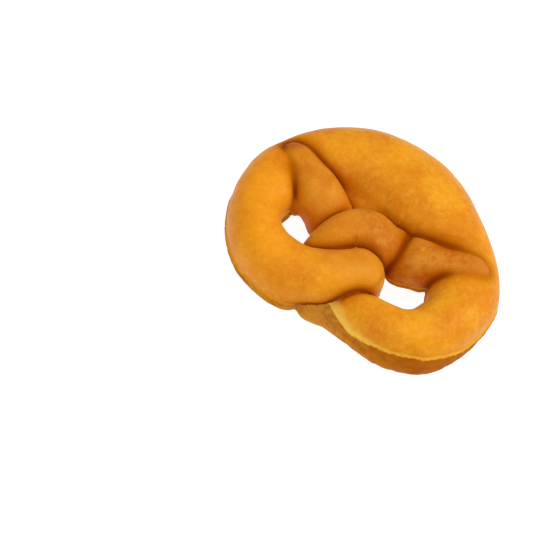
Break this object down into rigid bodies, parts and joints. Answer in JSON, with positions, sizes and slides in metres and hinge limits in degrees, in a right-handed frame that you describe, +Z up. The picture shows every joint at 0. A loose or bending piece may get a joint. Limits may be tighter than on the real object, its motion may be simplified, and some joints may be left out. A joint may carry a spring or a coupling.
{
  "type": "soft pretzel",
  "caption": "Fried soft pretzel of thick yeast dough: a fat belly, round side loops and a pressed twist with blunt rope ends.",
  "frame": {"origin": "under the middle of the outline, on the table", "axes": "+X across the pretzel from the left loop to the right loop, +Y from the loops towards the belly, +Z up"},
  "size_m": [0.1437, 0.1181, 0.0365],
  "materials": {
    "crust": "golden-brown fried dough crust with a faint satin sheen of oil, paler cream at mid height"
  },
  "bodies": {
    "root": {"pretzel": "crust"}
  },
  "joints": []
}
